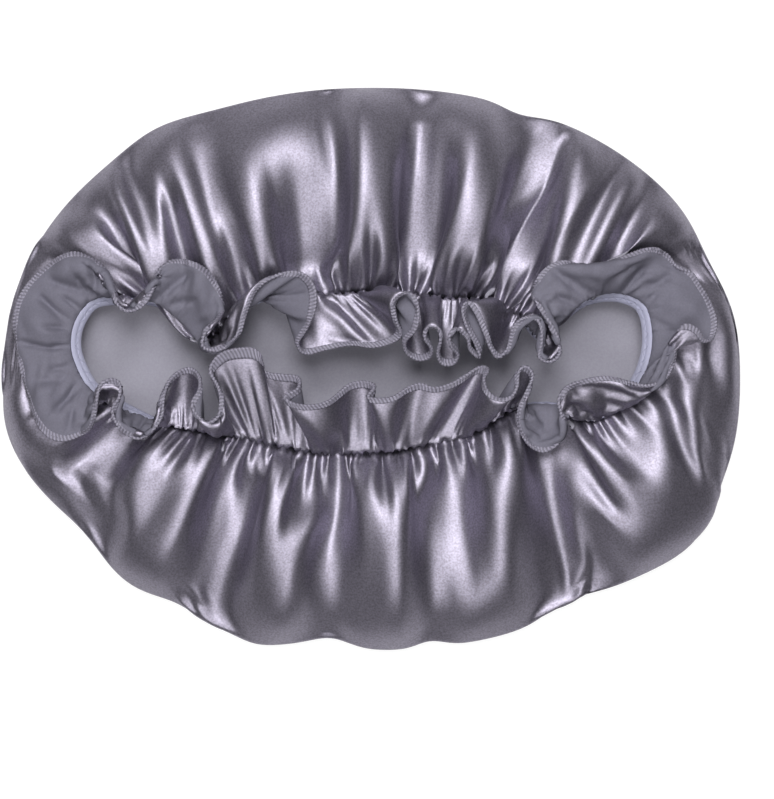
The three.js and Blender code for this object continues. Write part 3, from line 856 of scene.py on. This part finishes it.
def add_node(tree: bpy.types.NodeTree, kind: str, *firsts: object, **inputs: object) -> bpy.types.Node:
    """Adds a shader node.

    Args:
        tree: the material's nodes.
        kind: Blender's name of the node, without its prefix.
        firsts: values of its first sockets in order, or sockets to link from.
        inputs: values of sockets by name, with _ for a space, or sockets to link from.

    Returns:
        The new node.
    """
    node = tree.nodes.new("ShaderNode" + kind)
    named = [(node.inputs[key.replace("_", " ")], value) for key, value in inputs.items()]
    for socket, value in [*zip(node.inputs, firsts), *named]:
        feed(tree, socket, value)
    return node


@dataclass(frozen=True, kw_only=True)
class Finish:
    """A procedural material, made once.

    Attributes:
        name: the real material.
        colour: sRGB colour as #rrggbb.
        roughness: how dull it is, from 0 to 1.
        metallic: how much it mirrors in its own colour, from 0 to 1.
    """

    name: str
    colour: str
    roughness: float = 0.5
    metallic: float = 0

    def material(self) -> bpy.types.Material:
        """The material, made on first use."""
        return bpy.data.materials.get(self.name) or self._make()

    def _make(self) -> bpy.types.Material:
        """Makes the material from its colour and gloss.

        Returns:
            The new material.
        """
        made = bpy.data.materials.new(self.name)
        made.use_nodes = True
        sockets = made.node_tree.nodes["Principled BSDF"].inputs
        feed(made.node_tree, sockets["Base Color"], self.shade(made.node_tree))
        feed(made.node_tree, sockets["Roughness"], self.roughness)
        feed(made.node_tree, sockets["Metallic"], self.metallic)
        return made

    def shade(self, tree: bpy.types.NodeTree) -> Colour | bpy.types.NodeSocket:
        """The colour that a plain finish shows all over."""
        return srgb(self.colour)


def two_tone(
    tree: bpy.types.NodeTree, pattern: bpy.types.Node, stops: dict[float, str]
) -> bpy.types.NodeSocket:
    """Colours a pattern.

    Args:
        tree: the material's nodes.
        pattern: the texture node.
        stops: sRGB colours by the pattern's values.

    Returns:
        The colour socket.
    """
    ramp = add_node(tree, "ValToRGB", pattern.outputs[0])
    for element, (at, colour) in zip(ramp.color_ramp.elements, stops.items()):
        element.position = at
        element.color = srgb(colour)
    return ramp.outputs[0]


@dataclass(frozen=True, kw_only=True)
class SatinFinish(Finish):
    """One side of satin cloth, with the uneven colour of threads that lie more or less turned.

    Its threads lie about 0.1 mm apart, which is too fine to show, so its specks are drawn coarser.
    """

    dark: str
    speck: float = 0.9
    detail: float = 2
    stops: tuple[float, float] = (0.3, 0.7)

    def shade(self, tree: bpy.types.NodeTree) -> Colour | bpy.types.NodeSocket:
        """The grain of the weave.

        Args:
            tree: the material's nodes.

        Returns:
            The colour socket.
        """
        place = add_node(tree, "TexCoord").outputs["Object"]
        scale = 1 / (self.speck * MM)
        specks = add_node(tree, "TexNoise", Vector=place, Scale=scale, Detail=self.detail)
        return two_tone(tree, specks, dict(zip(self.stops, (self.dark, self.colour))))


@dataclass(frozen=True, kw_only=True)
class OverlockFinish(Finish):
    """Thread that lies in slanting loops with gaps between them."""

    gap_colour: str
    slant: float = 0.5

    def shade(self, tree: bpy.types.NodeTree) -> Colour | bpy.types.NodeSocket:
        """The loops, one to each swell of the edge.

        Args:
            tree: the material's nodes.

        Returns:
            The colour socket.
        """
        weave = add_node(tree, "UVMap")
        weave.uv_map = UV_NAME
        turned = add_node(tree, "Mapping", Vector=weave.outputs[0], Rotation=(0, 0, self.slant))
        scale = TURN / (WAVE_UNIT * LOOP_PITCH)
        loops = add_node(tree, "TexWave", Vector=turned.outputs[0], Scale=scale)
        return two_tone(tree, loops, {0: self.gap_colour, 1: self.colour})


@dataclass(frozen=True, kw_only=True)
class PaperFinish(Finish):
    """Paper that glows for the camera and in reflections, and is plain to other light."""

    glow: str

    def _make(self) -> bpy.types.Material:
        """Adds the glow, which only rays of sight meet.

        Returns:
            The new material.
        """
        made = super()._make()
        tree = made.node_tree
        path = add_node(tree, "LightPath").outputs
        mirrored = add_node(tree, "Math", path["Is Glossy Ray"], path["Is Transmission Ray"])
        seen = add_node(tree, "Math", path["Is Camera Ray"], mirrored.outputs[0])
        glow = add_node(tree, "Emission", srgb(self.glow), seen.outputs[0])
        both = add_node(tree, "AddShader", tree.nodes["Principled BSDF"].outputs[0], glow.outputs[0])
        feed(tree, tree.nodes["Material Output"].inputs["Surface"], both.outputs[0])
        return made


# The shiny side: long floating threads mirror softly, so folds are bright or nearly black
SATIN_FACE = SatinFinish(name="polyester satin face", colour="#9d99a8", dark="#827d89", metallic=0.98)
# The dull side on the ruffle: a copy of the same cloth painted darker than inside the crown, as painted
# shade, an even grey with a faint grain
SATIN_BACK_SHADED = SatinFinish(name="polyester satin back", colour="#6c6a78", dark="#65636f", roughness=0.85)
# The dull side inside the crown: a copy of the same cloth painted paler than on the ruffle, as painted
# light
SATIN_BACK_LIT = SatinFinish(
    name="polyester satin back, painted light", colour="#9c9aa6", dark="#95929f", roughness=0.85
)
# The tape: a pale, dull, bluish band
ELASTIC = Finish(name="braided polyester elastic", colour="#a6a6bc", roughness=0.8)
# Stitches on the tape: as pale as the tape, so that they hardly show
SEAM_THREAD = Finish(name="spun polyester sewing thread", colour="#a3a3b9", roughness=0.7)
# The bound rim: soft loops, a little lighter than the ruffle's dull side, with dark gaps
OVERLOCK_THREAD = OverlockFinish(
    name="textured polyester overlock thread", colour="#8d8999", gap_colour="#686571", roughness=0.6
)
# The ground: pure white to the camera, and a mid grey to the lamps so that it throws little light back
PAPER = PaperFinish(name="white background paper", colour="#707070", glow="#f0f0f0")


class Face(Enum):
    """Which side of a grid is outside."""

    ROW_THEN_COLUMN = 1
    COLUMN_THEN_ROW = -1


@dataclass
class GridMesh:
    """A mesh over a grid of points.

    Attributes:
        name: name of the object.
        grid: rows by columns of points, in millimetres.
        face: which side of the grid is outside.
        ring: whether the last column joins the first.
        tube: whether the last row joins the first.
        pole: whether the last row closes on one point in its middle.
        cell: size of a texture cell along the columns and along the rows, in millimetres.
    """

    name: str
    grid: Array
    face: Face
    ring: bool = True
    tube: bool = False
    pole: bool = False
    cell: tuple[float, float] = (1, 1)

    def _corners(self, values: Array) -> Array:
        """Values at the four corners of each cell.

        Args:
            values: rows by columns of values.

        Returns:
            One row of four for each cell, in the order of its face.
        """
        quads = [values[:-1, :-1], values[1:, :-1], values[1:, 1:], values[:-1, 1:]]
        quads = np.stack(quads, axis=2).reshape(-1, 4, *values.shape[2:])
        return quads[:, :: self.face.value]

    def build(self) -> bpy.types.Object:
        """Makes the mesh, in metres, with smooth faces and a texture map.

        Returns:
            The new object, linked to the scene.
        """
        rows, columns = self.grid.shape[:2]
        index = np.arange(rows * columns).reshape(rows, columns)
        index = np.concatenate([index, index[:1]]) if self.tube else index
        index = np.concatenate([index, index[:, :1]], axis=1) if self.ring else index
        wide, high = self.cell
        cells = np.meshgrid(np.arange(index.shape[1]) * wide, np.arange(index.shape[0]) * high)
        points = self.grid.reshape(-1, 3)
        faces = self._corners(index).tolist()
        places = self._corners(np.stack(cells, axis=-1)).reshape(-1, 2)
        if self.pole:
            points = np.concatenate([points, self.grid[-1].mean(axis=0)[None]])
            middle = np.full(columns, len(points) - 1)
            fan = np.stack([index[-1, :-1], middle, index[-1, 1:]], axis=-1)
            faces += fan[:, :: self.face.value].tolist()
        if self.tube and not self.ring:
            ends = index[:-1, 0][:: -self.face.value], index[:-1, -1][:: self.face.value]
            faces += [end.tolist() for end in ends]
        mesh = bpy.data.meshes.new(self.name)
        mesh.from_pydata((points * MM).tolist(), [], faces)
        mesh.polygons.foreach_set("use_smooth", np.ones(len(mesh.polygons), bool))
        spread = np.zeros((len(mesh.loops), 2))
        spread[: len(places)] = places
        mesh.uv_layers.new(name=UV_NAME).data.foreach_set("uv", spread.astype(np.float32).ravel())
        mesh.update()
        piece = bpy.data.objects.new(self.name, mesh)
        bpy.context.scene.collection.objects.link(piece)
        log.info("%s: %d faces", self.name, len(mesh.polygons))
        return piece


def line_cloth(piece: bpy.types.Object, inside: SatinFinish) -> None:
    """Gives a sheet its thickness, shiny outside and dull inside.

    Args:
        piece: the sheet, with its shiny side outwards.
        inside: the finish of its dull side.
    """
    piece.data.materials.append(SATIN_FACE.material())
    piece.data.materials.append(inside.material())
    thick = piece.modifiers.new("cloth", "SOLIDIFY")
    thick.thickness = CLOTH_THICKNESS * MM
    thick.offset = -1
    thick.material_offset = 1
    thick.material_offset_rim = 1


class Motion(Enum):
    """Which two bodies a piece bends between, and from where to where along X, in metres."""

    STRETCH = ("bonnet", "right_end", -0.07, 0.07)
    LEFT_TIP = ("bonnet", "left_tip", -0.1433, -0.155)
    RIGHT_TIP = ("right_end", "right_tip", 0.1337, 0.146)

    def carry(self, piece: bpy.types.Object) -> None:
        """Bakes a piece's placement into its mesh."""
        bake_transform(piece)


@dataclass
class Crown:
    """The crown's cloth."""

    drape: CrownDrape
    piece: bpy.types.Object = field(init=False)
    # Radius of the flat cloth without the ruffle, and the cell of its texture map
    crown_flat_radius: float = 215
    crown_cell: tuple[float, float] = (1.4, 2)

    def __post_init__(self) -> None:
        """Makes the cloth and hides the solids that it stands for."""
        cloth = self.drape.points
        mesh = GridMesh("satin_crown", cloth, Face.ROW_THEN_COLUMN, pole=True, cell=self.crown_cell)
        self.piece = mesh.build()
        # The crown's inside takes the paler copy of the dull side, painted light
        line_cloth(self.piece, SATIN_BACK_LIT)
        Motion.STRETCH.carry(self.piece)
        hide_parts("crown", "crown_underside")


@dataclass(frozen=True)
class Section:
    """A section of the ruffle: its span on the mouth route, its motion and the solids it stands for."""

    name: str
    start: float
    end: float
    motion: Motion
    ruffle_nodes: tuple[str, ...]
    edge_nodes: tuple[str, ...]


SECTIONS = (
    Section(
        "left", 13.95, 25, Motion.LEFT_TIP, ("ruffle_left", "ruffle_left_tip"),
        ("overlock_left_back", "overlock_left_tip", "overlock_left_front"),
    ),
    Section("front", 25, 31.2, Motion.STRETCH, ("ruffle_front",), ("overlock_front",)),
    Section(
        "right", 31.2, 41, Motion.RIGHT_TIP, ("ruffle_right", "ruffle_right_tip"),
        ("overlock_right_back", "overlock_right_tip", "overlock_right_front"),
    ),
    Section("back", 41, 49.95, Motion.STRETCH, ("ruffle_back",), ("overlock_back",)),
)


@dataclass
class Ruffle:
    """The ruffle in its sections, each with its overlocked edge."""

    layout: Layout
    drape: RuffleDrape
    pieces: list[bpy.types.Object] = field(default_factory=list)
    # How many times finer than the drape's its columns are, and the cell of its texture map
    ruffle_split: int = 2
    ruffle_cell: tuple[float, float] = (1, 1.8)
    # The overlocked edge: its sizes, and the rows of the ruffle's grid that it reaches inward over
    edge_width: float = 2.8
    edge_thickness: float = 1.7
    edge_inset: float = 0.7
    edge_step: float = 0.36
    edge_rows: int = 2
    # How much its loops swell, and how far they lag across it, in radians
    edge_swell: float = 0.4
    loop_slant: float = 1.3
    # Places across the edge from its outside, and its half thickness there, front then back
    edge_section: tuple[tuple[float, float], ...] = (
        (1, 0), (0.75, 0.85), (0.35, 0.9), (0, 0.4), (-0.5, 0.75), (-0.95, 0.45),
        (-0.95, -0.45), (-0.5, -0.75), (0, -0.4), (0.35, -0.9), (0.75, -0.85),
    )

    def __post_init__(self) -> None:
        """Makes each section and its edge."""
        fine = on_columns(self.drape.points, self.ruffle_split * COLUMNS)
        for section in SECTIONS:
            cloth = fine[:, self._columns(section)]
            edge = self._edge(section, cloth)
            self.pieces += [self._cloth(section, cloth), edge]

    def _columns(self, section: Section) -> Array:
        """Columns of the fine grid that a section spans.

        Args:
            section: which section.

        Returns:
            The columns' numbers, both ends included.
        """
        laps = len(MOUTH_ROUTE)
        ends = []
        for place in (section.start, section.end):
            lap = 0 if place >= self.layout.root[0] else 1
            ends.append(int(np.searchsorted(self.layout.root, place + lap * laps)) - lap * COLUMNS)
        start, end = (self.ruffle_split * column for column in ends)
        return np.arange(start, end + 1) % (self.ruffle_split * COLUMNS)

    def _cloth(self, section: Section, cloth: Array) -> bpy.types.Object:
        """One section's cloth.

        Args:
            section: which section.
            cloth: its points, from the gathered row to the rim.

        Returns:
            The piece.
        """
        name = f"satin_ruffle_{section.name}"
        piece = GridMesh(name, cloth, Face.COLUMN_THEN_ROW, ring=False, cell=self.ruffle_cell).build()
        # The ruffle takes the darker copy of the dull side, painted shade
        line_cloth(piece, SATIN_BACK_SHADED)
        section.motion.carry(piece)
        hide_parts(*section.ruffle_nodes)
        return piece

    def _edge(self, section: Section, cloth: Array) -> bpy.types.Object:
        """One section's overlocked edge.

        A flat section, thick at its two thread lines and thin in the groove between them, runs along
        the rim in the plane of the cloth. Its thickness swells once for each loop of thread, later
        across its width than at the rim, so that the loops slant.

        Args:
            section: which section.
            cloth: its points, from the gathered row to the rim.

        Returns:
            The piece.
        """
        lengths = lengths_along(cloth[-1])
        along = np.append(np.arange(0, lengths[-1], self.edge_step), lengths[-1])
        rows = [between_points(along, lengths, row) for row in cloth[-1 : -2 - self.edge_rows : -1]]
        tangent = unit(np.gradient(rows[0], axis=0))
        outward = rows[0] - rows[1]
        outward = unit(outward - tangent * np.einsum("ij,ij->i", outward, tangent)[:, None])
        normal = np.cross(tangent, outward)
        across, thick = np.array(self.edge_section, float).T
        reach = across * self.edge_width / 2 - self.edge_inset
        depth = np.clip(-reach / (RUFFLE_WIDTH / RUFFLE_ROWS), 0, self.edge_rows)[:, None, None]
        place = rows[0] + (rows[1] - rows[0]) * np.minimum(depth, 1)
        place = place + (rows[2] - rows[1]) * np.maximum(depth - 1, 0)
        place = place + outward * np.maximum(reach, 0)[:, None, None]
        loop = 1 + self.edge_swell * np.sin(TURN * along / LOOP_PITCH + self.loop_slant * across[:, None])
        grid = place + normal * (thick[:, None] * loop * self.edge_thickness / 2)[..., None]
        cell = (self.edge_step, 2 * self.edge_width / len(self.edge_section))
        name = f"overlock_edge_{section.name}"
        piece = GridMesh(name, grid, Face.ROW_THEN_COLUMN, ring=False, tube=True, cell=cell).build()
        piece.data.materials.append(OVERLOCK_THREAD.material())
        section.motion.carry(piece)
        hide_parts(*section.edge_nodes)
        return piece


@dataclass
class Elastic:
    """The elastic tape on the inside of the gathering line, its lap, its stitches and the lap's tack."""

    path: ClosedPath = field(default_factory=lambda: ClosedPath(np.array(MOUTH_ROUTE, float)[:, :2]))
    pieces: list[bpy.types.Object] = field(default_factory=list)
    tape_width: float = 6
    tape_thickness: float = 0.9
    tape_step: float = 1.5
    # Tilt in degrees at the ends of the mouth and along its sides
    tape_tilt: float = 44
    tape_steep: float = 84
    # Where along X the tape starts to turn steep by the left and right ends, and over what length
    tape_flat_left: float = -130
    tape_flat_right: float = 120
    tape_twist: float = 40
    # Its lift off the gathering line, how far it sinks where it is steep, and its place inward
    tape_lift: float = 0.9
    tape_sink: float = 3.5
    tape_inset: float = -0.4
    # Places across the tape from its outer edge, and its height there, with a groove along the middle
    tape_section: tuple[tuple[float, float], ...] = (
        (0, 0.5), (0.06, 1), (0.48, 1), (0.5, 0.9), (0.52, 1), (0.94, 1), (1, 0.5), (0.94, 0), (0.06, 0),
    )
    # The lap, by its place on the mouth route, and the passes of its tack
    lap_place: float = 9.9
    lap_length: float = 14
    lap_steps: int = 12
    lap_gap: float = 0.2
    tack_passes: int = 6
    # How far inside the tape's edges the threads turn, as shares of its width
    tack_inset: float = 0.25
    stitch_inset: float = 0.27
    stitch_pitch: float = 6
    thread_diameter: float = 0.35
    thread_sides: int = 5
    thread_steps: int = 3

    def __post_init__(self) -> None:
        """Makes the tape and what lies on it."""
        girth = self.path.girth
        lap = float(self.path.length_at(np.array([self.lap_place]))[0])
        half = self.lap_length / 2
        over_tape = self.tape_thickness + self.lap_gap
        self._tape("elastic_tape", np.arange(0, girth, self.tape_step), 0, True, "elastic_band")
        lapped = np.linspace(lap - half, lap + half, self.lap_steps)
        self._tape("tape_lap", lapped, over_tape, False, "elastic_lap")
        zigzag = np.arange(lap + half, lap + girth - half, self.stitch_pitch / 2)
        self._thread("gather_stitches", zigzag, 0, self.stitch_inset, "gather_stitching")
        tack = np.linspace(lap - half / 2, lap + half / 2, self.tack_passes + 1)
        self._thread("lap_tack", tack, over_tape, self.tack_inset, "lap_bartack")

    def _strip(self, along: Array) -> tuple[Array, Array, Array]:
        """The tape's outer edge, its direction across and its upward face at places along the mouth.

        The tape slants down from the gathering line, more steeply along the sides than at the ends.

        Args:
            along: lengths along the gathering line.

        Returns:
            Points of the outer edge, unit directions towards the inner edge, and unit normals.
        """
        here = self.path.at_length(along)
        step = unit(self.path.at_length(along + 1) - self.path.at_length(along - 1))
        outward = np.stack([step[:, 1], -step[:, 0], np.zeros(len(step))], axis=1)
        inside = np.minimum(here[:, 0] - self.tape_flat_left, self.tape_flat_right - here[:, 0])
        twist = smooth_step(inside / self.tape_twist)
        tilt = np.radians(self.tape_tilt + (self.tape_steep - self.tape_tilt) * twist)[:, None]
        up = np.array([0, 0, 1])
        inward = -outward * np.cos(tilt) - up * np.sin(tilt)
        face = -outward * np.sin(tilt) + up * np.cos(tilt)
        height = NECK_HEIGHT + self.tape_lift - self.tape_sink * twist
        return with_height(here, height) - outward * self.tape_inset, inward, face

    def _tape(self, name: str, along: Array, lift: float, ring: bool, node: str) -> None:
        """A flat strip of tape with round edges along the gathering line.

        Args:
            name: name of the piece.
            along: lengths along the gathering line.
            lift: how far it lies above the tape's place.
            ring: whether its end joins its start.
            node: the solid that it stands for.
        """
        edge, inward, face = self._strip(along)
        across, thick = np.array(self.tape_section, float).T
        grid = edge + inward * (across * self.tape_width)[:, None, None]
        grid = grid + face * (lift + thick * self.tape_thickness)[:, None, None]
        cell = (self.tape_step, 1)
        piece = GridMesh(name, grid, Face.COLUMN_THEN_ROW, ring=ring, tube=True, cell=cell).build()
        piece.data.materials.append(ELASTIC.material())
        self._hand_over(piece, node)

    def _thread(self, name: str, along: Array, lift: float, edge_share: float, node: str) -> None:
        """A thread that goes to and fro across the tape, a round tube through its turns.

        Args:
            name: name of the piece.
            along: lengths along the gathering line at which it turns.
            lift: how far the tape under it lies above the tape's place.
            edge_share: how far inside the tape's edges it turns, as a share of the tape's width.
            node: the solid that it stands for.
        """
        edge, inward, face = self._strip(along)
        side = np.where(np.arange(len(along)) % 2, edge_share, 1 - edge_share)
        turns = edge + inward * (side * self.tape_width)[:, None]
        turns = turns + face * (lift + self.tape_thickness + self.thread_diameter / 2)
        last = len(turns) - 1
        at = np.linspace(0, last, last * self.thread_steps + 1)
        line, up = (between_points(at, np.arange(last + 1), row) for row in (turns, face))
        beside = np.cross(unit(np.gradient(line, axis=0)), up)
        turn = (np.arange(self.thread_sides) / self.thread_sides * TURN)[:, None, None]
        grid = line + (beside * np.cos(turn) + up * np.sin(turn)) * (self.thread_diameter / 2)
        piece = GridMesh(name, grid, Face.ROW_THEN_COLUMN, ring=False, tube=True).build()
        piece.data.materials.append(SEAM_THREAD.material())
        self._hand_over(piece, node)

    def _hand_over(self, piece: bpy.types.Object, node: str) -> None:
        """Bakes a piece's placement, hides the solid that it stands for, and keeps the piece.

        Args:
            piece: the piece.
            node: the solid that it stands for.
        """
        Motion.STRETCH.carry(piece)
        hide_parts(node)
        self.pieces.append(piece)


@dataclass(frozen=True)
class Softbox:
    """A soft rectangular lamp that looks at the bonnet: place and size in metres, power in watts."""

    name: str
    place: tuple[float, float, float]
    size: tuple[float, float]
    power: float

    def hang(self) -> None:
        """Adds the lamp to the scene."""
        lamp = bpy.data.lights.new(self.name, "AREA")
        lamp.shape = "RECTANGLE"
        lamp.size, lamp.size_y = self.size
        lamp.energy = self.power
        box = bpy.data.objects.new(self.name, lamp)
        box.location = self.place
        box.rotation_euler = (-Vector(self.place)).to_track_quat("-Z", "Y").to_euler()
        bpy.context.scene.collection.objects.link(box)


@dataclass
class Studio:
    """Floor, softboxes above the bonnet and around it, and a camera straight above."""

    softboxes: tuple[Softbox, ...] = (
        Softbox("softbox above", (0, 0.37, 1.5), (0.5, 0.4), 11),
        Softbox("softbox wide", (0, 0.15, 1.6), (2.2, 2), 2.5),
        Softbox("softbox front", (-0.05, -0.7, 1.3), (0.8, 0.6), 8.5),
        Softbox("softbox back", (-0.05, 0.8, 1.25), (0.8, 0.5), 10),
        Softbox("softbox left", (-0.42, 0.05, 1.2), (0.3, 0.6), 1.5),
    )
    floor_half: float = 3
    surround: float = 0.01
    # The picture's longer side spans the extent at the focus distance from the camera
    view_centre: tuple[float, float] = (0.00674, -0.01418)
    view_height: float = 1.312
    focus_distance: float = 1.3
    view_extent: float = 0.3715
    sensor: float = 36

    def __post_init__(self) -> None:
        """Lays the floor, hangs the lamps and places the camera."""
        bpy.context.scene.view_settings.view_transform = "Standard"
        self._lay_floor()
        for softbox in self.softboxes:
            softbox.hang()
        world = bpy.data.worlds.new("studio")
        world.use_nodes = True
        world.node_tree.nodes["Background"].inputs["Color"].default_value = (*[self.surround] * 3, 1)
        bpy.context.scene.world = world
        self._place_camera()

    def _lay_floor(self) -> None:
        """A white floor, which the camera sees as pure white."""
        half = self.floor_half
        mesh = bpy.data.meshes.new("floor")
        corners = [(-half, -half, 0), (half, -half, 0), (half, half, 0), (-half, half, 0)]
        mesh.from_pydata(corners, [], [range(len(corners))])
        floor = bpy.data.objects.new("floor", mesh)
        bpy.context.scene.collection.objects.link(floor)
        mesh.materials.append(PAPER.material())

    def _place_camera(self) -> None:
        """A camera straight above, whose picture spans the photograph's height."""
        lens = bpy.data.cameras.new("camera")
        lens.sensor_width = self.sensor
        lens.lens = self.sensor * self.focus_distance / self.view_extent
        camera = bpy.data.objects.new("camera", lens)
        camera.location = (*self.view_centre, self.view_height)
        bpy.context.scene.collection.objects.link(camera)
        bpy.context.scene.camera = camera


def main() -> None:
    """Builds the scene."""
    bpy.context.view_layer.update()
    Studio()
    layout = Layout()
    crown = CrownDrape(layout)
    elastic = Elastic()
    Crown(crown)
    ruffle = Ruffle(layout, RuffleDrape(layout, crown))
    log.info("crown, %d pieces of ruffle and %d of elastic", len(ruffle.pieces), len(elastic.pieces))


if __name__ == "__main__":
    main()
